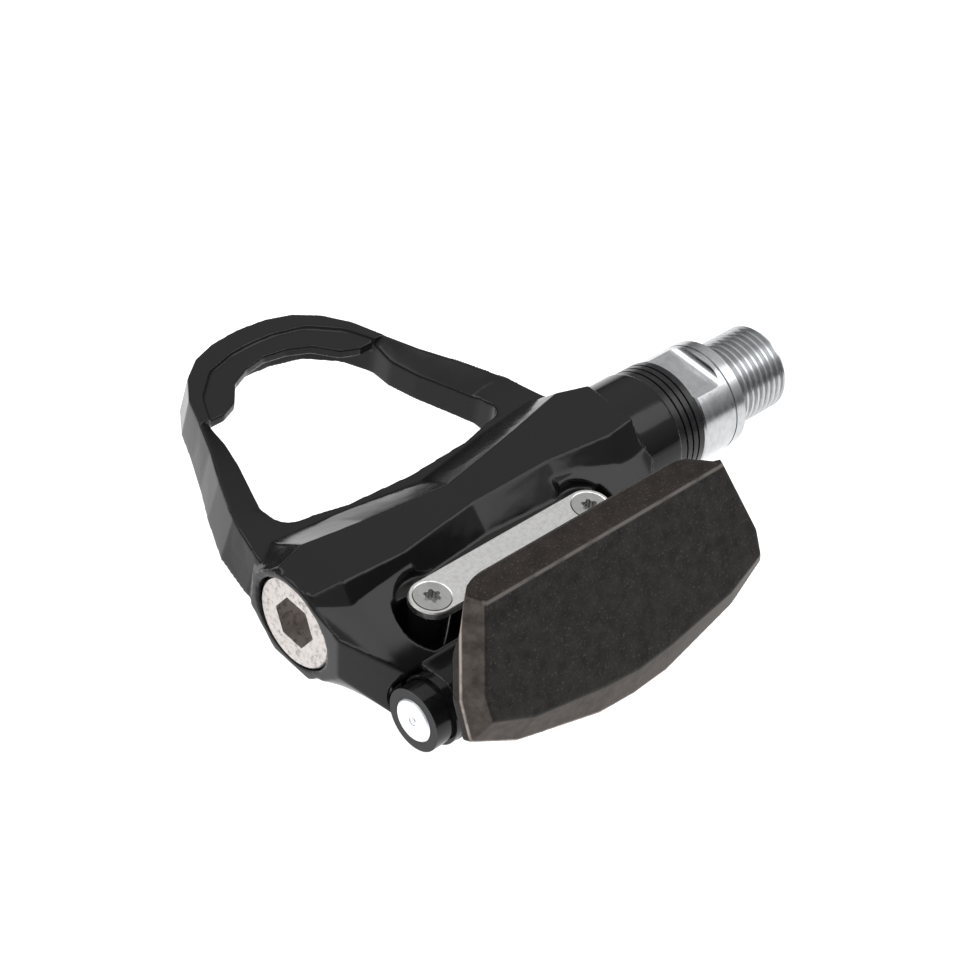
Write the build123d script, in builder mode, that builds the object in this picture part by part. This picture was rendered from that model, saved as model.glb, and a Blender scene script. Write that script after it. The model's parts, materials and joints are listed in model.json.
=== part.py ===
from build123d import *
import os
from math import cos, pi, radians, sin, tan

# Left-hand clipless road pedal, in millimetres.
# Frame: +X along the spindle towards the crank, +Y towards the toe, +Z up.
# Origin: on the spindle axis, at the shoulder that seats against the crank arm.

# ---------------------------------------------------------------- driving dimensions
PLATFORM_X = -55.3          # centre plane of the platform
CLEARANCE = 0.05            # radial running clearance of every turning fit

# spindle
THREAD_CREST_R = 7.144      # 9/16 inch thread, 20 turns per inch
THREAD_ROOT_R = 6.40
THREAD_PITCH = 1.27
THREAD_GROOVES = 8
FIRST_GROOVE = 1.94         # middle of the first groove
UNDERCUT_END = 1.5          # behind the shoulder, running into the first groove
THREAD_END = 12.4
COLLAR_R = 9.2
COLLAR_LENGTH = 9.9
FLANGE_LENGTH = 3.4
WRENCH_FLAT = 15.0
JOURNAL_R = 5.5
JOURNAL_END = -35.0
SHAFT_R = 4.6
SHAFT_END = -64.8
STUB_R = 3.0
STUB_END = -80.0

# lock sleeve and neck
SLEEVE_R = 9.45
SLEEVE_FACE = -10.3
SLEEVE_BACK = -15.6
SLEEVE_SHANK_R = 8.4
SLEEVE_SHANK_END = -20.6
NECK_R = 9.7
SHOULDER_X = -24.0
SEAL_R = 7.6
SEAL_WIDTH = 2.6

# bearings
NEEDLE_SHELL_R = 8.0
NEEDLE_START = -21.2
NEEDLE_END = -33.6
ROLLER_R = 0.9
ROLLER_COUNT = 16
RACE_R = 6.5
RACE_WIDTH = 5.0
RACE_STARTS = (-69.8, -75.6)
BALL_R = 1.2
BALL_COUNT = 8
SPACER_WIDTH = 0.8
WASHER_WIDTH = 0.6

# outer end
BOSS_FACE = -87.2
BOSS_R = 8.8
BOSS_LENGTH = 6.0
END_LEAN = 2.0              # how far the end face leans in, 20 mm further down
CAP_FACE = -85.8
CAP_R = 7.35
CAP_HEX = 7.0
CAP_HEX_DEPTH = 4.2
CAP_THREAD_R = 6.75
CAP_SEAT = -83.6
CAP_BACK = -80.8

# pivot of the rear binding
PIVOT_Y = -21.5
PIVOT_Z = -3.7
PIN_R = 2.5
PIN_HEAD_R = 3.35
EAR_R = 5.5
EAR_OUTER = 22.3            # distance of the ear faces from the centre plane
EAR_INNER = 14.5
LUG_OUTER = 14.0
LUG_INNER = 9.6
BUSH_LENGTH = 4.4

# wear plate
PLATE_TOP = 6.3
PLATE_THICKNESS = 1.2
PLATE_SCREW_X = 15.8        # from the centre plane
PLATE_SCREW_Y = -11.8
PLATE_SCREW_SPACING = 2 * PLATE_SCREW_X
PLATE_WIDTH = 7.0
SCREW_HEAD_R = 2.75
SCREW_R = 1.5
SCREW_LENGTH = 8.8
SCREW_SINK = 120            # degrees, whole angle of the countersunk head

# barrel stations: x, front, rear, top, crest_front, crest_rear, bottom
BARREL_STATIONS = [
    (-86.6, 8.6, -8.6, 8.6, 3.6, -3.6, -8.6),
    (-81.5, 12.6, -10.0, 9.4, 4.4, -4.4, -9.2),
    (-70.5, 12.0, -9.2, 8.8, 3.4, -4.6, -9.4),
    (PLATFORM_X, 9.9, -8.6, 8.5, 2.2, -2.6, -9.2),
    (-40.1, 12.0, -9.2, 9.2, 4.6, -3.0, -9.4),
    (-29.1, 12.6, -10.0, 10.0, 6.5, -5.0, -10.0),
    (SHOULDER_X, 10.2, -10.2, 10.3, 4.6, -4.6, -10.2),
]
BARREL_SIDE = 3.4           # half height of the barrel's front and rear faces

# front loop: half outlines as (distance from the centre plane, y)
LOOP_BOTTOM = -2.4
LOOP_TOP = 4.6
LOOP_FOOT = [(31.0, 2.0), (30.9, 10.0), (29.3, 17.7), (25.8, 25.1), (22.5, 31.0), (19.7, 36.6),
             (17.3, 42.0), (14.1, 46.5), (10.2, 49.4), (5.6, 51.0), (0.0, 51.5)]
LOOP_CREST = [(30.6, 2.0), (29.6, 10.0), (27.4, 17.8), (24.0, 25.2), (20.9, 31.0), (18.4, 36.8),
              (16.4, 41.8), (13.4, 45.9), (9.6, 48.7), (5.3, 50.1), (0.0, 50.6)]
OPENING = [(0.0, 9.9), (12.0, 10.6), (21.9, 12.9), (21.6, 18.0), (20.0, 22.4), (17.9, 27.8),
           (16.6, 32.6), (16.6, 36.6), (14.2, 41.2), (9.6, 45.2), (4.0, 46.7), (0.0, 46.9)]
# sloping tops of the arms: y, crest distance, inner distance, height at the inner distance
ARM_SLOPE = [(11.5, 29.4, 18.0, LOOP_TOP), (19.0, 26.8, 18.0, 1.6), (36.6, 18.5, 14.0, 1.6)]
LIP = [(0.0, 43.7), (4.0, 43.0), (7.6, 41.4), (10.6, 37.9), (13.6, 36.7), (17.4, 36.7),
       (16.4, 42.0), (9.0, 48.2), (0.0, 49.4)]
LIP_TOP = 4.0
LIP_BOTTOM = 2.3

# skirts and deck: side views as (y, z)
SKIRT_OUTER = 25.2          # where the skirt starts to taper towards the barrel's end
SKIRT_AT_EAR = [(-2.0, 7.6), (-6.0, 7.2), (-12.6, 3.8), (-17.5, 1.3), (-17.3, -7.9), (-9.0, -9.0),
                (-2.0, -9.0)]
SKIRT_AT_END = [(-2.0, 8.1), (-2.9, 8.0), (-6.4, 6.9), (-9.8, 5.8), (-8.9, -1.1), (-6.0, -5.5),
                (-2.0, -7.8)]
DECK_TOP = -2.6
BAY_R = 5.8                 # bay round each end of the wear plate
BAY_FRONT = -8.9
BAY_REAR = -16.7

# rear binding
# side view of the block: (y, z), from the top rear corner round to the lip
BLOCK_SIDE = [(-26.0, 20.6), (-39.0, -1.92), (-38.0, -5.6), (-27.8, -5.6), (-27.8, 5.6), (-25.2, 7.8),
              (-25.2, 15.4), (-20.9, 16.3), (-20.9, 19.5), (-21.9, 20.6)]
# plan view of the block's front, as a half outline
BLOCK_FRONT = [(0.0, -40.0), (32.0, -40.0), (32.0, -27.6), (24.4, -25.0), (21.6, -22.4), (17.8, -20.9),
               (0.0, -20.9)]
# half outlines of the sloping rear panel: (distance from centre, distance up the slope)
PANEL_FACE = [(0.0, -21.5), (6.7, -21.0), (19.8, -19.1), (27.0, -16.4), (27.2, -12.5), (22.4, 3.0)]
PANEL_RIM = [(0.0, -26.4), (7.0, -26.0), (22.0, -22.6), (29.6, -18.9), (29.5, -12.8), (24.6, 3.0)]
PANEL_LEAN = 30.0           # degrees from upright
PANEL_X = PLATFORM_X + 2.0   # the block sits a little towards the crank
PANEL_BEVEL_DEPTH = 3.0
WING_DEPTH = 4.7            # thickness of the block's two ends, square to the panel
WING_START = 20.5           # distance of the wings' roots from the centre plane

# torsion springs
SPRING_X = 8.7              # distance of each coil's outer end from the centre plane
SPRING_R = 4.0
SPRING_WIRE = 0.75
SPRING_PITCH = 1.9
SPRING_TURNS = 4

# tension adjuster
TENSION_Y = -30.2
TENSION_R = 2.0
TENSION_HEAD_R = 2.35

PARTS = "parts"
os.makedirs(PARTS, exist_ok=True)


def save(piece, name):
    """Label a finished piece and write it as its own STEP file."""
    piece.part.label = name
    export_step(piece.part, f"{PARTS}/{name}.step")


def across(x):
    """Plane square to the spindle at x, with Y and Z as its local directions."""
    return Plane.YZ.offset(x)


def both_sides(points, centre=PLATFORM_X):
    """Close a half outline, given from the rear to the nose, by its mirror image about a centre line."""
    left = [(-x, y) for x, y in reversed(points) if x > 0]
    return [(x + centre, y) for x, y in points + left]


# ---------------------------------------------------------------- pedal body
plate_screw_spots = [(PLATFORM_X + side * PLATE_SCREW_X, PLATE_SCREW_Y) for side in (-1, 1)]

with BuildPart() as pedal_body:
    # faceted barrel round the bearings
    for x, front, rear, top, crest_front, crest_rear, bottom in BARREL_STATIONS:
        with BuildSketch(across(x)):
            Polygon(
                (front, -BARREL_SIDE),
                (front, BARREL_SIDE),
                (crest_front, top),
                (crest_rear, top),
                (rear, BARREL_SIDE),
                (rear, -BARREL_SIDE),
                (crest_rear, bottom),
                (crest_front, bottom),
                align=None,
            )
    loft(ruled=True)
    # neck towards the crank and round boss at the outer end
    with BuildSketch(across(SLEEVE_BACK)):
        Circle(NECK_R)
    extrude(amount=SHOULDER_X - SLEEVE_BACK - 2.0)
    with BuildSketch(across(BOSS_FACE)):
        Circle(BOSS_R)
    extrude(amount=BOSS_LENGTH)

    # front loop: faceted ring whose outer wall leans in towards the top
    with BuildSketch(Plane.XY.offset(LOOP_BOTTOM)):
        Polygon(*both_sides(LOOP_FOOT), align=None)
    with BuildSketch(Plane.XY.offset(LOOP_TOP)):
        Polygon(*both_sides(LOOP_CREST), align=None)
    loft(ruled=True)
    with BuildSketch(Plane.XY.offset(-15.0)):
        Polygon(*both_sides(OPENING), align=None)
        fillet([v for v in vertices() if 11.5 < v.Y < 14.0], radius=3.0)
        fillet([v for v in vertices() if v.Y > 17.0], radius=4.0)
    extrude(amount=30.0, mode=Mode.SUBTRACT)
    # the arms' tops slope down towards the opening
    for side in (-1, 1):
        for y, crest, inner, inner_top in ARM_SLOPE:
            with BuildSketch(Plane.XZ.offset(-y)):
                Polygon(
                    (PLATFORM_X + side * crest, LOOP_TOP),
                    (PLATFORM_X + side * inner, inner_top),
                    (PLATFORM_X + side * inner, LOOP_TOP + 3.0),
                    (PLATFORM_X + side * crest, LOOP_TOP + 3.0),
                    align=None,
                )
        loft(ruled=True, mode=Mode.SUBTRACT)
    # lip inside the nose that holds the cleat's toe
    with BuildSketch(Plane.XY.offset(LIP_BOTTOM)):
        Polygon(*both_sides(LIP), align=None)
    extrude(amount=LIP_TOP - LIP_BOTTOM)

    # skirts from the ends of the barrel back to the ears, and the ears round the pivot pin
    for side in (-1, 1):
        with BuildSketch(across(PLATFORM_X + side * EAR_INNER)):
            Polygon(*SKIRT_AT_EAR, align=None)
        extrude(amount=side * (SKIRT_OUTER - EAR_INNER))
        with BuildSketch(across(PLATFORM_X + side * SKIRT_OUTER)):
            Polygon(*SKIRT_AT_EAR, align=None)
        with BuildSketch(across(PLATFORM_X + side * (PLATFORM_X - BOSS_FACE))):
            Polygon(*SKIRT_AT_END, align=None)
        loft(ruled=True)
        with BuildSketch(across(PLATFORM_X + side * EAR_INNER)):
            with Locations((PIVOT_Y, PIVOT_Z)):
                Circle(EAR_R)
            Polygon(SKIRT_AT_EAR[3], SKIRT_AT_EAR[4], (-9.0, -6.0), align=None)
            make_hull()
        extrude(amount=side * (EAR_OUTER - EAR_INNER))
        # round seat for the pivot bush
        with BuildSketch(across(PLATFORM_X + side * EAR_OUTER)):
            with Locations((PIVOT_Y, PIVOT_Z)):
                Circle(EAR_R + 0.2)
        extrude(amount=side * 12.0, mode=Mode.SUBTRACT)

    # bays round the wear plate's ends
    with BuildSketch(Plane.XY.offset(DECK_TOP)):
        with Locations(*plate_screw_spots):
            Circle(BAY_R)
        with Locations((PLATFORM_X, BAY_FRONT + 5.0), (PLATFORM_X, BAY_REAR - 5.0)):
            Rectangle(60.0, 10.0, mode=Mode.SUBTRACT)
    extrude(amount=15.0, mode=Mode.SUBTRACT)
    with BuildSketch(Plane.XY.offset(PLATE_TOP - PLATE_THICKNESS)):
        with Locations(*plate_screw_spots):
            Circle(BAY_R - 0.5)
        with Locations((PLATFORM_X, PLATE_SCREW_Y)):
            Rectangle(PLATE_SCREW_SPACING, PLATE_WIDTH + 0.4)
    extrude(amount=12.0, mode=Mode.SUBTRACT)

    # rear deck, the seat under the plate and the two screw bosses
    with BuildSketch(Plane.XY.offset(DECK_TOP)):
        with Locations((PLATFORM_X, -10.6)):
            Rectangle(2 * EAR_OUTER, 9.6)
    extrude(amount=-4.0)
    with BuildSketch(Plane.XY.offset(PLATE_TOP - PLATE_THICKNESS)):
        with Locations((PLATFORM_X, -9.2)):
            Rectangle(PLATE_SCREW_SPACING, 6.0)
        with Locations(*plate_screw_spots):
            Circle(PLATE_WIDTH / 2 - 0.3)
    extrude(amount=-12.0)
    # ridges that the springs' forward legs rest on
    with BuildSketch(Plane.XY.offset(-0.5)):
        with Locations((PLATFORM_X - SPRING_X, -13.4), (PLATFORM_X + SPRING_X, -13.4)):
            Rectangle(3.6, 4.0)
    extrude(amount=-2.5)

    # the outer end face leans in towards the bottom
    with BuildSketch(Plane.XZ):
        Polygon(
            (BOSS_FACE - 2.0, 12.0),
            (BOSS_FACE, 8.0),
            (BOSS_FACE + END_LEAN, -12.0),
            (BOSS_FACE - 2.0, -12.0),
            align=None,
        )
    extrude(amount=20.0, both=True, mode=Mode.SUBTRACT)

    # stepped bore for the spindle and its bearings
    bores = [
        (SLEEVE_BACK + 1.0, SLEEVE_SHANK_END, SLEEVE_SHANK_R),
        (SLEEVE_BACK, NEEDLE_END, NEEDLE_SHELL_R),
        (NEEDLE_END, -70.0, SHAFT_R + 1.4),
        (SHAFT_END, RACE_STARTS[1], RACE_R),
        (RACE_STARTS[1], CAP_FACE, CAP_THREAD_R),
        (CAP_SEAT, BOSS_FACE - 1.0, CAP_R + 0.2),
    ]
    for start, end, radius in bores:
        with BuildSketch(across(start)):
            Circle(radius)
        extrude(amount=end - start, mode=Mode.SUBTRACT)

    # pivot bore and screw holes
    with BuildSketch(across(PLATFORM_X - 40.0)):
        with Locations((PIVOT_Y, PIVOT_Z)):
            Circle(PIN_R)
    extrude(amount=80.0, mode=Mode.SUBTRACT)
    with BuildSketch(Plane.XY.offset(PLATE_TOP - 9.0)):
        with Locations(*plate_screw_spots):
            Circle(SCREW_R)
    extrude(amount=9.0, mode=Mode.SUBTRACT)
save(pedal_body, "pedal_body")


# ---------------------------------------------------------------- wear plate and its screws
with BuildPart() as wear_plate:
    with BuildSketch(Plane.XY.offset(PLATE_TOP - PLATE_THICKNESS)):
        with Locations((PLATFORM_X, PLATE_SCREW_Y)):
            SlotCenterToCenter(PLATE_SCREW_SPACING, PLATE_WIDTH)
    extrude(amount=PLATE_THICKNESS)
    chamfer(faces().sort_by(Axis.Z)[-1].outer_wire().edges(), length=0.2)
    with Locations(*[(x, y, PLATE_TOP) for x, y in plate_screw_spots]):
        CounterSinkHole(
            radius=SCREW_R + 0.2,
            counter_sink_radius=SCREW_HEAD_R + 0.2,
            counter_sink_angle=SCREW_SINK,
        )
save(wear_plate, "wear_plate")

screw_head_depth = (SCREW_HEAD_R - SCREW_R) / tan(radians(SCREW_SINK / 2))

with BuildPart() as wear_plate_screws:
    for x, y in plate_screw_spots:
        with BuildSketch(Plane.XZ.offset(-y)):
            Polygon(
                (x, PLATE_TOP),
                (x + SCREW_HEAD_R, PLATE_TOP),
                (x + SCREW_R, PLATE_TOP - screw_head_depth),
                (x + SCREW_R, PLATE_TOP - SCREW_LENGTH + 0.4),
                (x, PLATE_TOP - SCREW_LENGTH),
                align=None,
            )
        revolve(axis=Axis((x, y, 0), (0, 0, 1)))
    # six-lobed driver recess
    with BuildSketch(Plane.XY.offset(PLATE_TOP)):
        with Locations(*plate_screw_spots):
            Circle(1.0)
            with PolarLocations(1.0, 6):
                Circle(0.35)
    extrude(amount=-1.2, mode=Mode.SUBTRACT)
save(wear_plate_screws, "wear_plate_screws")

# ---------------------------------------------------------------- spindle
with BuildPart() as spindle:
    with BuildSketch(Plane.XY):
        with BuildLine():
            outline = [
                (STUB_END, 0.0),
                (STUB_END, STUB_R - 0.4),
                (STUB_END + 0.4, STUB_R),
                (SHAFT_END, STUB_R),
                (SHAFT_END, SHAFT_R),
                (JOURNAL_END, SHAFT_R),
                (JOURNAL_END, JOURNAL_R),
                (-COLLAR_LENGTH, JOURNAL_R),
                (-COLLAR_LENGTH, COLLAR_R - 0.5),
                (-COLLAR_LENGTH + 0.5, COLLAR_R),
                (-0.4, COLLAR_R),
                (0.0, COLLAR_R - 0.4),
                (0.0, THREAD_CREST_R),
                (THREAD_END - 0.9, THREAD_CREST_R),
                (THREAD_END, THREAD_ROOT_R),
                (THREAD_END, 0.0),
            ]
            Polyline(*outline, close=True)
        make_face()
    revolve(axis=Axis.X)
    # undercut behind the shoulder, then the thread grooves
    with BuildSketch(Plane.XY):
        with Locations((UNDERCUT_END - 0.55, THREAD_CREST_R)):
            Rectangle(1.1, 1.6)
        for turn in range(THREAD_GROOVES):
            middle = FIRST_GROOVE + THREAD_PITCH * turn
            Polygon(
                (middle - 0.47, THREAD_CREST_R + 0.1),
                (middle + 0.47, THREAD_CREST_R + 0.1),
                (middle + 0.08, THREAD_ROOT_R),
                (middle - 0.08, THREAD_ROOT_R),
                align=None,
            )
    revolve(axis=Axis.X, mode=Mode.SUBTRACT)
    # fine line turned around the flange
    with BuildSketch(Plane.XY):
        with Locations((-FLANGE_LENGTH + 0.9, COLLAR_R)):
            Rectangle(0.3, 0.5)
    revolve(axis=Axis.X, mode=Mode.SUBTRACT)
    # two wrench flats with rounded run-outs
    for side in (-1, 1):
        with BuildSketch(Plane.XZ):
            with Locations((-COLLAR_LENGTH - 1.0, side * (WRENCH_FLAT / 2 + 2.0))):
                Rectangle(2 * (COLLAR_LENGTH - FLANGE_LENGTH + 1.0), 4.0)
            near = [v for v in vertices() if abs(v.Y) < WRENCH_FLAT / 2 + 0.1 and v.X > -COLLAR_LENGTH]
            fillet(near, radius=1.5)
        extrude(amount=12.0, both=True, mode=Mode.SUBTRACT)
save(spindle, "spindle")


# Rings about the spindle axis are listed as (from x, to x, outer radius, inner radius).
with BuildPart() as lock_sleeve:
    for x_from, x_to, outer, inner in (
        (SLEEVE_BACK, SLEEVE_FACE, SLEEVE_R, SEAL_R),
        (SLEEVE_BACK, SLEEVE_SHANK_END, SLEEVE_SHANK_R, 7.0),
        (SLEEVE_BACK, SLEEVE_BACK + 0.6, 7.7, 7.0),
    ):
        with BuildSketch(across(x_from)):
            Circle(outer)
            Circle(inner, mode=Mode.SUBTRACT)
        extrude(amount=x_to - x_from)
    with BuildSketch(Plane.XY):
        for groove in range(3):
            with Locations((SLEEVE_FACE - 1.3 - 1.3 * groove, SLEEVE_R)):
                Rectangle(0.35, 0.7)
    revolve(axis=Axis.X, mode=Mode.SUBTRACT)
save(lock_sleeve, "lock_sleeve")

with BuildPart() as spindle_seal:
    with BuildSketch(across(SLEEVE_BACK + 0.6)):
        Circle(SEAL_R)
        Circle(JOURNAL_R + CLEARANCE, mode=Mode.SUBTRACT)
    extrude(amount=SEAL_WIDTH)
save(spindle_seal, "spindle_seal")

# ---------------------------------------------------------------- needle bearing in the neck
roller_orbit = JOURNAL_R + 0.02 + ROLLER_R
needle_inner_r = roller_orbit + ROLLER_R + 0.02

with BuildPart() as needle_shell:
    for x_from, x_to, outer, inner in (
        (NEEDLE_END, NEEDLE_START, NEEDLE_SHELL_R, needle_inner_r),
        (NEEDLE_END, NEEDLE_END + 0.6, NEEDLE_SHELL_R, JOURNAL_R + 0.3),
        (NEEDLE_START - 0.6, NEEDLE_START, NEEDLE_SHELL_R, JOURNAL_R + 0.3),
    ):
        with BuildSketch(across(x_from)):
            Circle(outer)
            Circle(inner, mode=Mode.SUBTRACT)
        extrude(amount=x_to - x_from)
save(needle_shell, "needle_shell")

with BuildPart() as needle_cage:
    with BuildSketch(across(NEEDLE_END + 0.7)):
        Circle(roller_orbit + 0.35)
        Circle(roller_orbit - 0.35, mode=Mode.SUBTRACT)
    extrude(amount=NEEDLE_START - NEEDLE_END - 1.4)
    with BuildSketch(across(NEEDLE_END + 1.7)):
        with PolarLocations(roller_orbit, ROLLER_COUNT):
            Circle(ROLLER_R + 0.03)
    extrude(amount=NEEDLE_START - NEEDLE_END - 3.4, mode=Mode.SUBTRACT)
save(needle_cage, "needle_cage")

with BuildPart() as needle_rollers:
    with BuildSketch(across(NEEDLE_END + 1.8)):
        with PolarLocations(roller_orbit, ROLLER_COUNT):
            Circle(ROLLER_R)
    extrude(amount=NEEDLE_START - NEEDLE_END - 3.6)
save(needle_rollers, "needle_rollers")

# ---------------------------------------------------------------- two ball bearings at the outer end
ball_orbit = (STUB_R + RACE_R) / 2
race_middles = [start + RACE_WIDTH / 2 for start in RACE_STARTS]

with BuildPart() as bearing_outer_rings:
    for start in RACE_STARTS:
        with BuildSketch(across(start)):
            Circle(RACE_R)
            Circle(RACE_R - 1.15, mode=Mode.SUBTRACT)
        extrude(amount=RACE_WIDTH)
    with BuildSketch(Plane.XY):
        with Locations(*[(x, ball_orbit) for x in race_middles]):
            Circle(BALL_R + 0.03)
    revolve(axis=Axis.X, mode=Mode.SUBTRACT)
save(bearing_outer_rings, "bearing_outer_rings")

with BuildPart() as bearing_inner_rings:
    for start in RACE_STARTS:
        with BuildSketch(across(start)):
            Circle(STUB_R + 1.15)
            Circle(STUB_R, mode=Mode.SUBTRACT)
        extrude(amount=RACE_WIDTH)
    with BuildSketch(Plane.XY):
        with Locations(*[(x, ball_orbit) for x in race_middles]):
            Circle(BALL_R + 0.03)
    revolve(axis=Axis.X, mode=Mode.SUBTRACT)
save(bearing_inner_rings, "bearing_inner_rings")

ball_angles = [2 * pi * index / BALL_COUNT for index in range(BALL_COUNT)]
ball_spots = [(x, ball_orbit * cos(a), ball_orbit * sin(a)) for x in race_middles for a in ball_angles]

with BuildPart() as bearing_balls:
    with Locations(*ball_spots):
        Sphere(BALL_R)
save(bearing_balls, "bearing_balls")

with BuildPart() as bearing_cages:
    for middle in race_middles:
        with BuildSketch(across(middle - 0.9)):
            Circle(ball_orbit + 0.4)
            Circle(ball_orbit - 0.4, mode=Mode.SUBTRACT)
        extrude(amount=2.8)
    with Locations(*ball_spots):
        Sphere(BALL_R + 0.04, mode=Mode.SUBTRACT)
save(bearing_cages, "bearing_cages")

with BuildPart() as bearing_spacer:
    with BuildSketch(across(RACE_STARTS[0] - SPACER_WIDTH)):
        Circle(STUB_R + 1.1)
        Circle(STUB_R, mode=Mode.SUBTRACT)
    extrude(amount=SPACER_WIDTH)
save(bearing_spacer, "bearing_spacer")

with BuildPart() as spindle_washer:
    with BuildSketch(across(RACE_STARTS[1] - WASHER_WIDTH)):
        Circle(STUB_R + 1.6)
        Circle(STUB_R, mode=Mode.SUBTRACT)
    extrude(amount=WASHER_WIDTH)
save(spindle_washer, "spindle_washer")

with BuildPart() as spindle_nut:
    with BuildSketch(across(STUB_END + 0.4)):
        RegularPolygon(5.0, 6, major_radius=False)
        Circle(STUB_R, mode=Mode.SUBTRACT)
    extrude(amount=RACE_STARTS[1] - 0.6 - STUB_END - 0.4)
save(spindle_nut, "spindle_nut")

with BuildPart() as end_cap:
    with BuildSketch(across(CAP_SEAT)):
        Circle(CAP_R)
    extrude(amount=CAP_FACE - CAP_SEAT)
    chamfer(faces().sort_by(Axis.X)[0].edges(), length=0.35)
    with BuildSketch(across(CAP_SEAT)):
        Circle(CAP_THREAD_R)
    extrude(amount=CAP_BACK - CAP_SEAT)
    # O-ring groove in the rim, then the hexagon socket
    ring_groove_x = CAP_SEAT - 0.75
    with BuildSketch(Plane.XY):
        with Locations((ring_groove_x, CAP_R)):
            Rectangle(1.1, 1.3)
    revolve(axis=Axis.X, mode=Mode.SUBTRACT)
    with BuildSketch(across(CAP_FACE)):
        RegularPolygon(CAP_HEX / 2, 6, major_radius=False)
    extrude(amount=CAP_HEX_DEPTH, mode=Mode.SUBTRACT)
save(end_cap, "end_cap")

with BuildPart() as end_cap_oring:
    with BuildSketch(Plane.XY):
        with Locations((ring_groove_x, CAP_R - 0.15)):
            Circle(0.45)
    revolve(axis=Axis.X)
save(end_cap_oring, "end_cap_oring")

# ---------------------------------------------------------------- rear binding
panel_plane = Plane(
    origin=(0, -26.0, 20.6),
    x_dir=(1, 0, 0),
    z_dir=(0, -cos(radians(PANEL_LEAN)), sin(radians(PANEL_LEAN))),
)

with BuildPart() as rear_binding:
    # bevelled panel, then the block behind it
    with BuildSketch(panel_plane.offset(-PANEL_BEVEL_DEPTH)):
        Polygon(*both_sides(PANEL_RIM, PANEL_X), align=None)
    with BuildSketch(panel_plane):
        Polygon(*both_sides(PANEL_FACE, PANEL_X), align=None)
    loft(ruled=True)
    with BuildSketch(panel_plane.offset(-PANEL_BEVEL_DEPTH)):
        Polygon(*both_sides(PANEL_RIM, PANEL_X), align=None)
    extrude(amount=-20.0)
    with BuildSketch(across(PLATFORM_X - 32.0)):
        Polygon(*BLOCK_SIDE, align=None)
    extrude(amount=64.0, mode=Mode.INTERSECT)
    with BuildSketch(Plane.XY.offset(-10.0)):
        Polygon(*both_sides(BLOCK_FRONT), align=None)
    extrude(amount=40.0, mode=Mode.INTERSECT)
    # the ends are hollowed from behind into wings
    with BuildSketch(panel_plane.offset(-WING_DEPTH)):
        with Locations((PLATFORM_X - WING_START - 10.0, 0), (PLATFORM_X + WING_START + 10.0, 0)):
            Rectangle(20.0, 80.0)
    extrude(amount=-30.0, mode=Mode.SUBTRACT)
    # hinge lugs that run back to the pivot pin
    for side in (-1, 1):
        with BuildSketch(across(PLATFORM_X + side * LUG_INNER)):
            with Locations((PIVOT_Y, PIVOT_Z)):
                Circle(EAR_R - 0.1)
            Polygon((-28.2, -5.0), (-28.2, 4.4), (-26.0, 3.0), align=None)
            make_hull()
        extrude(amount=side * (LUG_OUTER - LUG_INNER))
    with BuildSketch(across(PLATFORM_X - LUG_OUTER - 1.0)):
        with Locations((PIVOT_Y, PIVOT_Z)):
            Circle(PIN_R + CLEARANCE)
    extrude(amount=2 * LUG_OUTER + 2.0, mode=Mode.SUBTRACT)
    # window for the tension nut, bore and head recess for the tension screw
    with BuildSketch(Plane.XY.offset(-3.2)):
        with Locations((PLATFORM_X, TENSION_Y)):
            Rectangle(8.0, 6.0)
        with Locations((PLATFORM_X, TENSION_Y + 3.0)):
            Rectangle(8.0, 4.0)
    extrude(amount=5.5, mode=Mode.SUBTRACT)
    with BuildSketch(Plane.XY.offset(-6.0)):
        with Locations((PLATFORM_X, TENSION_Y)):
            Circle(TENSION_R + CLEARANCE)
    extrude(amount=9.6, mode=Mode.SUBTRACT)
save(rear_binding, "rear_binding")

with BuildPart() as pivot_pin:
    pin_head_x = PLATFORM_X - EAR_OUTER - BUSH_LENGTH - 0.2
    pin_end_x = PLATFORM_X + EAR_OUTER + BUSH_LENGTH + 1.0
    pin_plane = Plane(origin=(pin_head_x, PIVOT_Y, PIVOT_Z), x_dir=(0, 1, 0), z_dir=(1, 0, 0))
    with BuildSketch(pin_plane):
        Circle(PIN_HEAD_R)
    extrude(amount=1.0)
    chamfer(edges().group_by(Axis.X)[0], length=0.2)
    with BuildSketch(pin_plane):
        Circle(PIN_R)
    extrude(amount=pin_end_x - pin_head_x)
    # centre mark in the head and groove for the clip
    with BuildSketch(pin_plane):
        Circle(0.8)
        Circle(0.45, mode=Mode.SUBTRACT)
    extrude(amount=0.15, mode=Mode.SUBTRACT)
    with BuildSketch(pin_plane.offset(pin_end_x - pin_head_x - 1.0)):
        Circle(PIN_R + 0.1)
        Circle(PIN_R - 0.4, mode=Mode.SUBTRACT)
    extrude(amount=0.6, mode=Mode.SUBTRACT)
save(pivot_pin, "pivot_pin")

with BuildPart() as pivot_clip:
    with BuildSketch(pin_plane.offset(pin_end_x - pin_head_x - 1.0)):
        Circle(PIN_R + 1.3)
        Circle(PIN_R - 0.4, mode=Mode.SUBTRACT)
        with Locations((0, -PIN_R)):
            Rectangle(3.2, 3.4, mode=Mode.SUBTRACT)
    extrude(amount=0.6)
save(pivot_clip, "pivot_clip")

with BuildPart() as pivot_bushes:
    for side in (-1, 1):
        start = PLATFORM_X + side * EAR_OUTER
        bush_plane = Plane(origin=(start, PIVOT_Y, PIVOT_Z), x_dir=(0, 1, 0), z_dir=(1, 0, 0))
        for begin, length, radius in ((0.0, 1.2, 5.4), (1.2, 0.6, 4.6), (1.8, BUSH_LENGTH - 1.8, 4.9)):
            with BuildSketch(bush_plane.offset(side * begin)):
                Circle(radius)
                Circle(PIN_R, mode=Mode.SUBTRACT)
            extrude(amount=side * length)
    with BuildSketch(pin_plane):
        Circle(PIN_HEAD_R + 0.1)
    extrude(amount=1.0, mode=Mode.SUBTRACT)
save(pivot_bushes, "pivot_bushes")

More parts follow.
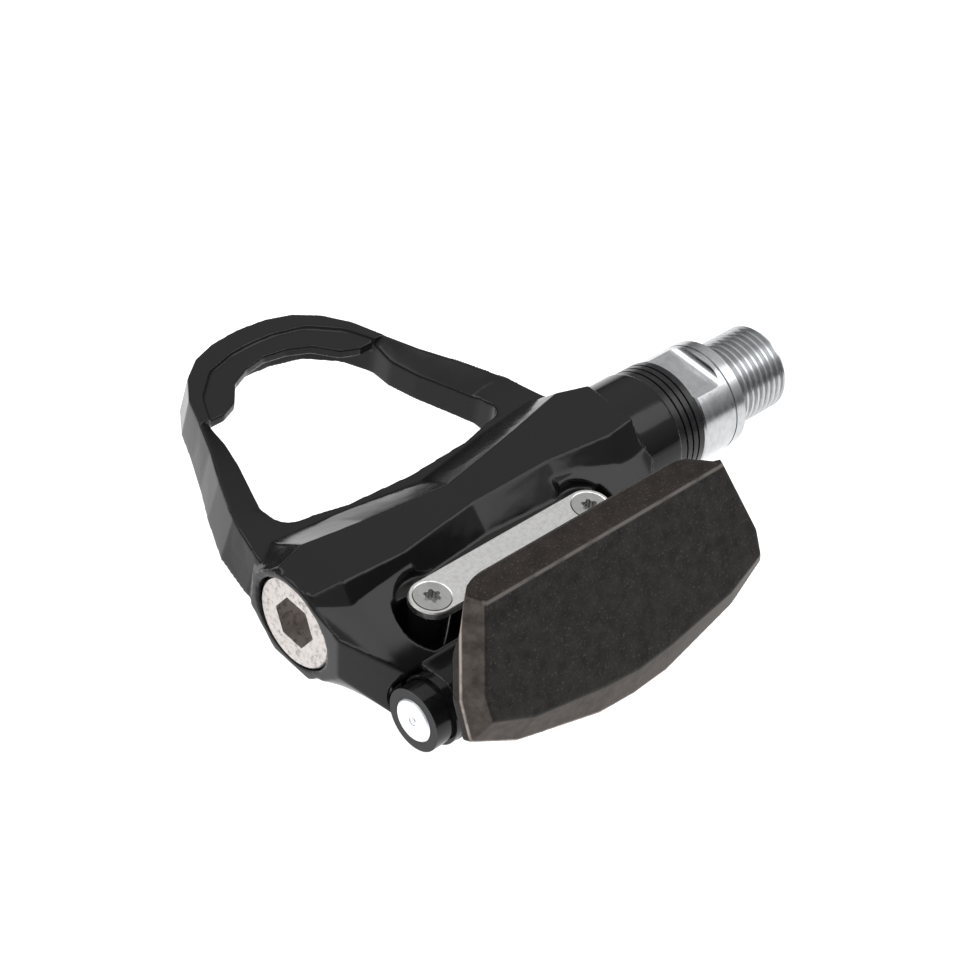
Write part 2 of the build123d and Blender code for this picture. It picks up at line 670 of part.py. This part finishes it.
with BuildPart() as spring_sleeve:
    sleeve_start = PLATFORM_X - LUG_INNER + 0.1
    with BuildSketch(Plane(origin=(sleeve_start, PIVOT_Y, PIVOT_Z), x_dir=(0, 1, 0), z_dir=(1, 0, 0))):
        Circle(3.0)
        Circle(PIN_R + CLEARANCE, mode=Mode.SUBTRACT)
    extrude(amount=2 * LUG_INNER - 0.2)
save(spring_sleeve, "spring_sleeve")

# ---------------------------------------------------------------- springs and tension adjuster
with BuildPart() as torsion_springs:
    with BuildLine() as coil_path:
        Helix(
            pitch=SPRING_PITCH,
            height=SPRING_PITCH * SPRING_TURNS,
            radius=SPRING_R,
            center=(PLATFORM_X - SPRING_X, PIVOT_Y, PIVOT_Z),
            direction=(1, 0, 0),
        )
    coil = coil_path.edges()[0]
    with BuildSketch(Plane(origin=coil @ 0, z_dir=coil % 0)):
        Circle(SPRING_WIRE)
    sweep(path=coil, is_frenet=True)
    # forward leg that rests on the deck and rear leg that the tension nut pushes
    with BuildSketch(Plane(origin=coil @ 0, x_dir=(1, 0, 0), z_dir=(0, 1, 0))):
        Circle(SPRING_WIRE)
    extrude(amount=8.6)
    with BuildSketch(Plane(origin=coil @ 1, x_dir=(1, 0, 0), z_dir=(0, -1, 0))):
        Circle(SPRING_WIRE)
    extrude(amount=5.8)
    mirror(about=across(PLATFORM_X))
save(torsion_springs, "torsion_springs")

with BuildPart() as tension_nut:
    with BuildSketch(Plane.XY.offset(-0.9)):
        with Locations((PLATFORM_X, TENSION_Y)):
            Rectangle(7.6, 5.6)
        with Locations((PLATFORM_X, TENSION_Y)):
            Circle(TENSION_R + CLEARANCE, mode=Mode.SUBTRACT)
    extrude(amount=3.0)
save(tension_nut, "tension_nut")

with BuildPart() as tension_screw:
    with BuildSketch(Plane.XY.offset(-5.65)):
        with Locations((PLATFORM_X, TENSION_Y)):
            Circle(TENSION_HEAD_R)
    extrude(amount=-2.0)
    chamfer(faces().sort_by(Axis.Z)[0].edges(), length=0.3)
    with BuildSketch(Plane.XY.offset(-5.65)):
        with Locations((PLATFORM_X, TENSION_Y)):
            Circle(TENSION_R)
    extrude(amount=9.0)
    with BuildSketch(Plane.XY.offset(-7.65)):
        with Locations((PLATFORM_X, TENSION_Y)):
            RegularPolygon(1.25, 6, major_radius=False)
    extrude(amount=1.6, mode=Mode.SUBTRACT)
save(tension_screw, "tension_screw")
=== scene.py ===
"""Clipless road pedal: looks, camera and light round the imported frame. Lengths are in metres."""
import json
import math

import bpy
from mathutils import Matrix, Vector


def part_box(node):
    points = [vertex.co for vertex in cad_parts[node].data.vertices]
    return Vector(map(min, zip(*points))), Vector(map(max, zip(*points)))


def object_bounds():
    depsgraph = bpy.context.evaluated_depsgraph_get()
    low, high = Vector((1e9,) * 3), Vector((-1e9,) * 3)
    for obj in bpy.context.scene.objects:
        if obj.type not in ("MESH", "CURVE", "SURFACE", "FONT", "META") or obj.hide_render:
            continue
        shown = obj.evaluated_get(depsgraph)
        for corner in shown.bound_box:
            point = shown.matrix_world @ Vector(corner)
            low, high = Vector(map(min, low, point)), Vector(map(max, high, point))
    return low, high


MM = 0.001

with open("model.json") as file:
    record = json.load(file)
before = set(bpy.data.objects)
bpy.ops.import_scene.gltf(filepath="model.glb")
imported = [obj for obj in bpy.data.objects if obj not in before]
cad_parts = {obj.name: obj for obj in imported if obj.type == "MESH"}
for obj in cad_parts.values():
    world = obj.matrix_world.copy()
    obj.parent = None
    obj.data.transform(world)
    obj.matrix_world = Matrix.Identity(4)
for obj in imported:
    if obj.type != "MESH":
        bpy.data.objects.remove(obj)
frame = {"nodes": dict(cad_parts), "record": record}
cad_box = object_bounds()
nodes = frame["nodes"]

# ---------------------------------------------------------------- places taken from the frame
BLOCK_LOW, BLOCK_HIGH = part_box("rear_binding")
BLOCK_X = (BLOCK_LOW.x + BLOCK_HIGH.x) / 2
BLOCK_TOP = BLOCK_HIGH.z
# the block's rear panel leans forward, and its upper edge lies at PANEL_TOP_Y on the block's top
PANEL_LEAN = math.radians(30.0)
PANEL_NORMAL = Vector((0.0, -math.cos(PANEL_LEAN), math.sin(PANEL_LEAN)))
PANEL_TOP_Y = -26.0 * MM
BEVEL_DEPTH = 3.0 * MM      # how far the bevels' rim lies below the panel
PANEL_OFFSET = PANEL_NORMAL.dot(Vector((0.0, PANEL_TOP_Y, BLOCK_TOP)))


# ---------------------------------------------------------------- shader helpers
class Shader:
    """One procedural material with a Principled BSDF, built node by node."""

    def __init__(self, name, base, metallic=0.0, roughness=0.5, specular=0.5):
        self.material = bpy.data.materials.new(name)
        self.material.use_nodes = True
        self.tree = self.material.node_tree
        self.bsdf = self.tree.nodes["Principled BSDF"]
        self.bsdf.inputs["Base Color"].default_value = (*base, 1.0)
        self.bsdf.inputs["Metallic"].default_value = metallic
        self.bsdf.inputs["Roughness"].default_value = roughness
        self.bsdf.inputs["Specular IOR Level"].default_value = specular
        self.material.diffuse_color = (*base, 1.0)
        self.place = self.tree.nodes.new("ShaderNodeTexCoord").outputs["Object"]

    def new(self, kind):
        return self.tree.nodes.new(kind)

    def link(self, output, socket):
        self.tree.links.new(output, socket)

    def stretched(self, scale):
        """Object coordinates multiplied by a different number along each axis."""
        mapping = self.new("ShaderNodeMapping")
        mapping.inputs["Scale"].default_value = scale
        self.link(self.place, mapping.inputs["Vector"])
        return mapping.outputs["Vector"]

    def noise(self, scale, detail=4.0, roughness=0.6, vector=None):
        node = self.new("ShaderNodeTexNoise")
        node.inputs["Scale"].default_value = scale
        node.inputs["Detail"].default_value = detail
        node.inputs["Roughness"].default_value = roughness
        self.link(vector or self.place, node.inputs["Vector"])
        return node.outputs["Fac"]

    def band(self, value, low, high, to_low=0.0, to_high=1.0):
        """Map low..high to to_low..to_high and clamp."""
        node = self.new("ShaderNodeMapRange")
        node.inputs["From Min"].default_value = low
        node.inputs["From Max"].default_value = high
        node.inputs["To Min"].default_value = to_low
        node.inputs["To Max"].default_value = to_high
        self.link(value, node.inputs["Value"])
        return node.outputs["Result"]

    def maths(self, operation, first, second):
        """One sum of two values, each a number or a socket."""
        node = self.new("ShaderNodeMath")
        node.operation = operation
        for value, socket in zip((first, second), node.inputs):
            if isinstance(value, (int, float)):
                socket.default_value = value
            else:
                self.link(value, socket)
        return node.outputs[0]

    def mix(self, factor, first, second):
        """Blend two colours, each a tuple or a socket; 6 and 7 are the node's colour inputs."""
        node = self.new("ShaderNodeMix")
        node.data_type = "RGBA"
        self.link(factor, node.inputs["Factor"])
        for value, socket in ((first, node.inputs[6]), (second, node.inputs[7])):
            if isinstance(value, tuple):
                socket.default_value = (*value, 1.0)
            else:
                self.link(value, socket)
        return node.outputs[2]

    def depth_below(self, normal, offset):
        """Distance below a plane, from its unit normal and its distance from the origin."""
        node = self.new("ShaderNodeVectorMath")
        node.operation = "DOT_PRODUCT"
        self.link(self.place, node.inputs[0])
        node.inputs[1].default_value = normal
        return self.maths("SUBTRACT", offset, node.outputs["Value"])

    def height(self):
        """Height in the pedal's frame."""
        node = self.new("ShaderNodeSeparateXYZ")
        self.link(self.place, node.inputs["Vector"])
        return node.outputs["Z"]

    def ridge(self, value, middle, half_width):
        """1 at the middle, falling to 0 half a width away on both sides."""
        away = self.maths("ABSOLUTE", self.maths("SUBTRACT", value, middle), 0.0)
        return self.band(away, 0.3 * half_width, half_width, 1.0, 0.0)

    def colour(self, output):
        self.link(output, self.bsdf.inputs["Base Color"])

    def roughness(self, output):
        self.link(output, self.bsdf.inputs["Roughness"])

    def bump(self, height, distance, strength=1.0):
        """Add a bump on top of those already there."""
        node = self.new("ShaderNodeBump")
        node.inputs["Strength"].default_value = strength
        node.inputs["Distance"].default_value = distance
        self.link(height, node.inputs["Height"])
        if self.bsdf.inputs["Normal"].is_linked:
            self.link(self.bsdf.inputs["Normal"].links[0].from_socket, node.inputs["Normal"])
        self.link(node.outputs["Normal"], self.bsdf.inputs["Normal"])


# ---------------------------------------------------------------- materials
def gloss_paint():
    """Gloss black paint over a casting: faint orange peel, a few dust nibs, thin haze."""
    black = (0.0075, 0.0075, 0.008)
    s = Shader("body_paint", black, roughness=0.16, specular=0.20)
    haze = s.noise(160.0, detail=5.0)
    s.roughness(s.band(haze, 0.35, 0.75, 0.10, 0.20))
    nibs = s.band(s.noise(2600.0, detail=1.0), 0.80, 0.86)
    s.colour(s.mix(nibs, black, (0.05, 0.05, 0.05)))
    s.bump(s.noise(420.0, detail=2.0), 0.00003, 0.3)
    return s.material


def block_polymer():
    """Moulded dark polymer: speckled panel, bevels painted paler as a reflection of the floor, painted
    highlights along the edges, told apart by depth and height.
    """
    s = Shader("binding_polymer", (0.012, 0.010, 0.009), roughness=0.52, specular=0.14)
    depth = s.depth_below(PANEL_NORMAL, PANEL_OFFSET)
    height = s.height()
    top = s.band(height, BLOCK_TOP - 0.5 * MM, BLOCK_TOP - 0.2 * MM)
    below_top = s.maths("SUBTRACT", 1.0, top)
    mottle = s.noise(420.0, detail=7.0, roughness=0.7)
    patches = s.band(mottle, 0.35, 0.65)
    panel = s.mix(patches, (0.0075, 0.0065, 0.0060), (0.023, 0.021, 0.020))
    # painted reflection: the bevels are coloured paler, standing in for the floor mirrored at a grazing angle
    bevel_reflection = s.mix(patches, (0.040, 0.032, 0.028), (0.095, 0.080, 0.070))
    crown = s.mix(patches, (0.010, 0.0075, 0.0065), (0.022, 0.017, 0.015))
    behind = s.band(depth, BEVEL_DEPTH + 0.1 * MM, BEVEL_DEPTH + 0.4 * MM, 1.0, 0.15)
    on_bevel = s.maths("MULTIPLY", s.band(depth, 0.15 * MM, 0.35 * MM), below_top)
    on_bevel = s.maths("MULTIPLY", on_bevel, behind)
    colour = s.mix(on_bevel, panel, bevel_reflection)
    colour = s.mix(top, colour, crown)
    grit = s.maths("MULTIPLY", s.band(s.noise(3000.0, detail=2.0), 0.58, 0.72), 0.7)
    colour = s.mix(grit, colour, (0.060, 0.054, 0.050))
    # painted highlights along the rim of the bevels and along the panel's upper edge, broken up by noise
    broken = s.band(s.noise(260.0, detail=4.0), 0.30, 0.50)
    rim_highlight = s.ridge(depth, BEVEL_DEPTH, 0.28 * MM)
    rim_highlight = s.maths("MULTIPLY", s.maths("MULTIPLY", rim_highlight, below_top), broken)
    colour = s.mix(rim_highlight, colour, (0.42, 0.36, 0.33))
    # painted highlight along the panel's upper edge, only on the panel
    crest_highlight = s.ridge(height, BLOCK_TOP - 0.45 * MM, 0.35 * MM)
    on_panel = s.maths("SUBTRACT", 1.0, s.band(depth, 0.35 * MM, 0.6 * MM))
    crest_highlight = s.maths("MULTIPLY", s.maths("MULTIPLY", crest_highlight, on_panel), s.band(broken, 0.0, 1.0, 0.3, 0.8))
    colour = s.mix(crest_highlight, colour, (0.15, 0.135, 0.125))
    s.colour(colour)
    s.roughness(s.band(mottle, 0.25, 0.75, 0.42, 0.62))
    s.bump(s.noise(2600.0, detail=3.0), 0.00006, 0.5)
    s.bump(s.noise(500.0, detail=3.0), 0.00010, 0.35)
    return s.material


def brushed_plate():
    """Stainless strip brushed along the pedal's width, with scuffs from cleats."""
    s = Shader("wear_steel", (0.60, 0.60, 0.59), metallic=1.0, roughness=0.34)
    brushing = s.noise(1.0, detail=4.0, vector=s.stretched((120.0, 5200.0, 5200.0)))
    scuffs = s.band(s.noise(1400.0, detail=8.0, roughness=0.75), 0.42, 0.75)
    s.colour(s.mix(scuffs, (0.66, 0.66, 0.65), (0.44, 0.43, 0.42)))
    brushed = s.band(brushing, 0.3, 0.7, 0.24, 0.40)
    s.roughness(s.maths("ADD", brushed, s.band(scuffs, 0.0, 1.0, 0.0, 0.12)))
    s.bump(brushing, 0.00003, 0.5)
    s.bump(s.noise(900.0, detail=4.0), 0.00003, 0.4)
    return s.material


def turned_steel(name, base, low=0.16, high=0.32, lines=7000.0):
    """Steel or alloy turned about the spindle axis: fine rings along X and light handling marks."""
    s = Shader(name, base, metallic=1.0, roughness=low)
    rings = s.noise(1.0, detail=5.0, roughness=0.7, vector=s.stretched((lines, 60.0, 60.0)))
    marks = s.noise(700.0, detail=6.0, roughness=0.7)
    s.roughness(s.band(rings, 0.3, 0.7, low, high))
    dark = tuple(0.78 * c for c in base)
    s.colour(s.mix(s.band(marks, 0.45, 0.75), base, dark))
    s.bump(rings, 0.00002, 0.6)
    return s.material


def scuffed_alloy():
    """Bright end cap whose face has been knocked and scraped."""
    s = Shader("cap_alloy", (0.56, 0.54, 0.52), metallic=1.0, roughness=0.3)
    knocks = s.noise(900.0, detail=8.0, roughness=0.8)
    grime = s.band(s.noise(1100.0, detail=6.0, roughness=0.8), 0.50, 0.62)
    s.colour(s.mix(grime, (0.58, 0.55, 0.53), (0.30, 0.26, 0.24)))
    s.roughness(s.band(knocks, 0.3, 0.7, 0.20, 0.5))
    s.bump(knocks, 0.00012, 0.6)
    return s.material


def zinc_plate():
    """Pale zinc on the pin's head, cloudy and a little uneven in gloss."""
    s = Shader("pin_zinc", (0.86, 0.88, 0.90), metallic=1.0, roughness=0.38)
    cloud = s.noise(800.0, detail=6.0)
    s.colour(s.mix(s.band(cloud, 0.4, 0.7), (0.90, 0.92, 0.94), (0.72, 0.75, 0.78)))
    s.roughness(s.band(cloud, 0.3, 0.7, 0.30, 0.48))
    s.bump(s.noise(2500.0, detail=3.0), 0.00002, 0.4)
    return s.material


def polished_steel():
    """Ground bearing steel under a thin, slightly yellow film of grease."""
    s = Shader("bearing_steel", (0.74, 0.75, 0.77), metallic=1.0, roughness=0.1)
    film = s.noise(900.0, detail=4.0)
    s.roughness(s.band(film, 0.35, 0.7, 0.07, 0.2))
    s.colour(s.mix(s.band(film, 0.45, 0.75), (0.76, 0.77, 0.79), (0.62, 0.60, 0.55)))
    return s.material


def dark_steel():
    """Spring wire and clip with a dark heat-treated scale."""
    s = Shader("spring_steel", (0.24, 0.24, 0.25), metallic=1.0, roughness=0.35)
    scale = s.noise(1400.0, detail=6.0)
    s.colour(s.mix(s.band(scale, 0.35, 0.7), (0.17, 0.17, 0.18), (0.33, 0.32, 0.31)))
    s.roughness(s.band(scale, 0.3, 0.7, 0.25, 0.5))
    s.bump(scale, 0.00003, 0.5)
    return s.material


def plain_polymer(name, base, low, high, grain=1800.0):
    """Moulded plastic or rubber: a fine grain and slightly uneven gloss."""
    s = Shader(name, base, roughness=low, specular=0.25)
    wear = s.noise(600.0, detail=5.0)
    light = tuple(1.7 * c + 0.004 for c in base)
    s.colour(s.mix(s.band(wear, 0.45, 0.75), base, light))
    s.roughness(s.band(wear, 0.3, 0.7, low, high))
    s.bump(s.noise(grain, detail=3.0), 0.00004, 0.5)
    return s.material


materials = {
    "body_paint": gloss_paint(),
    "binding_polymer": block_polymer(),
    "wear_steel": brushed_plate(),
    "screw_steel": turned_steel("screw_steel", (0.42, 0.42, 0.41), 0.22, 0.40, 3000.0),
    "spindle_steel": turned_steel("spindle_steel", (0.47, 0.48, 0.49), 0.14, 0.28, 5000.0),
    "sleeve_black": plain_polymer("sleeve_black", (0.008, 0.008, 0.009), 0.20, 0.32, grain=900.0),
    "bearing_steel": polished_steel(),
    "cap_alloy": scuffed_alloy(),
    "pin_zinc": zinc_plate(),
    "spring_steel": dark_steel(),
    "seal_rubber": plain_polymer("seal_rubber", (0.018, 0.018, 0.018), 0.55, 0.75),
    "cage_polymer": plain_polymer("cage_polymer", (0.06, 0.12, 0.08), 0.35, 0.5),
    "bush_polymer": plain_polymer("bush_polymer", (0.007, 0.007, 0.0075), 0.12, 0.22, grain=700.0),
}

# every node takes the material of its slot in the record
for entry in frame["record"]["subparts"]:
    mesh = nodes[entry["node"]].data
    mesh.materials.clear()
    mesh.materials.append(materials[entry["material_slot"]])


# ---------------------------------------------------------------- cast and moulded edges
SKIN_VOXEL = 0.20 * MM


def soften(name, rounds):
    """Round every edge of a cast or moulded node a little, as paint and moulding do."""
    piece = nodes[name]
    remesh = piece.modifiers.new("cast_skin", "REMESH")
    remesh.mode = "VOXEL"
    remesh.voxel_size = SKIN_VOXEL
    remesh.use_smooth_shade = True
    smooth = piece.modifiers.new("soft_edges", "SMOOTH")
    smooth.factor = 0.5
    smooth.iterations = rounds


soften("pedal_body", rounds=12)
soften("rear_binding", rounds=8)


# ---------------------------------------------------------------- floor, light and camera
def swing_radius(box):
    """Furthest that any corner of a box comes from the spindle axis, which is the X axis."""
    low, high = box
    return math.hypot(max(abs(low[1]), abs(high[1])), max(abs(low[2]), abs(high[2])))


# the pedal hangs on its spindle, so the floor lies just below the circle that the platform turns in
FLOOR_GAP = 2.0 * MM
FLOOR_SIZE = 6.0
FLOOR_GLOW = 0.28           # a light table keeps the floor white under the pedal


def floor():
    """Plain white studio floor."""
    floor_z = -swing_radius(cad_box) - FLOOR_GAP
    bpy.ops.mesh.primitive_plane_add(size=FLOOR_SIZE, location=(0.0, 0.0, floor_z))
    plane = bpy.context.object
    plane.name = "floor"
    s = Shader("floor_white", (0.93, 0.93, 0.93), roughness=0.6)
    s.bsdf.inputs["Emission Color"].default_value = (1.0, 1.0, 1.0, 1.0)
    s.bsdf.inputs["Emission Strength"].default_value = FLOOR_GLOW
    s.colour(s.mix(s.band(s.noise(6.0), 0.3, 0.7), (0.93, 0.93, 0.93), (0.91, 0.91, 0.91)))
    plane.data.materials.append(s.material)


def towards(azimuth, elevation):
    """Unit vector towards a viewpoint; azimuth 0 stands behind the pedal and looks along +Y."""
    a, e = math.radians(azimuth), math.radians(elevation)
    return Vector((math.sin(a) * math.cos(e), -math.cos(a) * math.cos(e), math.sin(e)))


def softbox(name, azimuth, elevation, distance, size, power):
    """Rectangular area light that looks at the middle of the pedal."""
    target = Vector((BLOCK_X, 5.0 * MM, 0.0))
    direction = towards(azimuth, elevation)
    light = bpy.data.lights.new(name, "AREA")
    light.shape = "RECTANGLE"
    light.size = size[0]
    light.size_y = size[1]
    light.energy = power
    lamp = bpy.data.objects.new(name, light)
    lamp.location = target + direction * distance
    lamp.rotation_euler = direction.to_track_quat("Z", "Y").to_euler()
    bpy.context.collection.objects.link(lamp)


CAMERA_PLACE = (-258.8 * MM, -174.4 * MM, 253.2 * MM)
CAMERA_AZIMUTH = -49.9
CAMERA_ELEVATION = 42.0
CAMERA_ROLL = 9.81
CAMERA_LENS = 94.2
SENSOR_WIDTH = 36.0


def camera():
    """Long lens over the rear outer corner, rolled a little as the picture was taken."""
    azimuth, roll = math.radians(CAMERA_AZIMUTH), math.radians(CAMERA_ROLL)
    back = towards(CAMERA_AZIMUTH, CAMERA_ELEVATION)
    level = Vector((math.cos(azimuth), math.sin(azimuth), 0.0))
    rise = back.cross(level)
    right = math.cos(roll) * level + math.sin(roll) * rise
    up = back.cross(right)
    data = bpy.data.cameras.new("camera")
    data.sensor_width = SENSOR_WIDTH
    data.lens = CAMERA_LENS
    view = bpy.data.objects.new("camera", data)
    turn = Matrix((right, up, back)).transposed()
    view.matrix_world = Matrix.Translation(CAMERA_PLACE) @ turn.to_4x4()
    bpy.context.collection.objects.link(view)
    bpy.context.scene.camera = view


def surroundings():
    """White tent, bright overhead and dim near the horizon, so that dark facets keep their contrast."""
    world = bpy.data.worlds.new("studio")
    world.use_nodes = True
    tree = world.node_tree
    background = tree.nodes["Background"]
    background.inputs["Color"].default_value = (1.0, 1.0, 1.0, 1.0)
    place = tree.nodes.new("ShaderNodeTexCoord")
    height = tree.nodes.new("ShaderNodeSeparateXYZ")
    rise = tree.nodes.new("ShaderNodeMapRange")
    rise.inputs["From Min"].default_value = 0.05
    rise.inputs["From Max"].default_value = 0.85
    rise.inputs["To Min"].default_value = 0.10
    rise.inputs["To Max"].default_value = 1.0
    tree.links.new(place.outputs["Generated"], height.inputs["Vector"])
    tree.links.new(height.outputs["Z"], rise.inputs["Value"])
    tree.links.new(rise.outputs["Result"], background.inputs["Strength"])
    bpy.context.scene.world = world


floor()
surroundings()
softbox("toe_side", azimuth=-150.0, elevation=52.0, distance=0.9, size=(0.7, 0.5), power=2.8)
softbox("crank_side", azimuth=48.0, elevation=50.0, distance=0.9, size=(0.7, 0.5), power=2.8)
softbox("overhead", azimuth=0.0, elevation=88.0, distance=1.0, size=(0.5, 0.5), power=1.6)
bpy.context.scene.view_settings.view_transform = "Standard"
camera()
